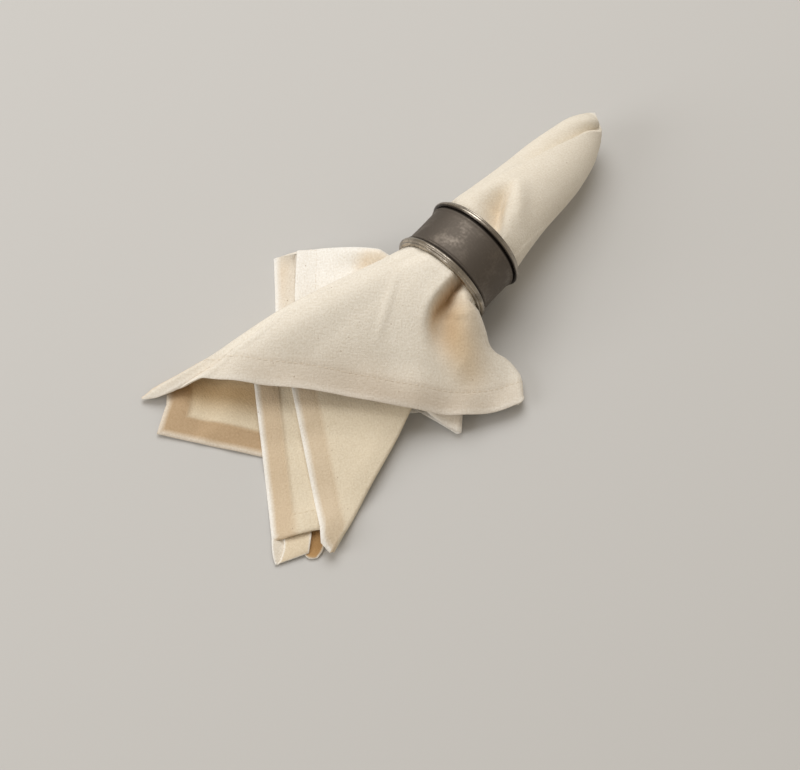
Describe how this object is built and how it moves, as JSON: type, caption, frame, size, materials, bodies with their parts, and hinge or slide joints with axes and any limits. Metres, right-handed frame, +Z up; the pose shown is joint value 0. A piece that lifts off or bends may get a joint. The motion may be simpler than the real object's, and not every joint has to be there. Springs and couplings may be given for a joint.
{
  "type": "cotton napkin in a ring",
  "caption": "Square hemmed cotton napkin pinched through a metal ring: a gathered cone on one side, folded layers spread on the table on the other; table linen for a place setting.",
  "frame": {"origin": "on the table, under the middle of the whole part's box", "axes": "+Z up; +X along the ring's axis towards the pinched end; the open layers spread towards -X"},
  "size_m": [0.227, 0.117, 0.0439],
  "materials": {
    "cotton": "unbleached plain weave, matt",
    "old_silver": "tarnished silver plate, satin",
    "bright_silver": "worn silver plate, half bright"
  },
  "bodies": {
    "root": {"napkin": "cotton", "ring_band": "old_silver", "ring_rim_front": "bright_silver", "ring_rim_back": "bright_silver"}
  },
  "joints": []
}
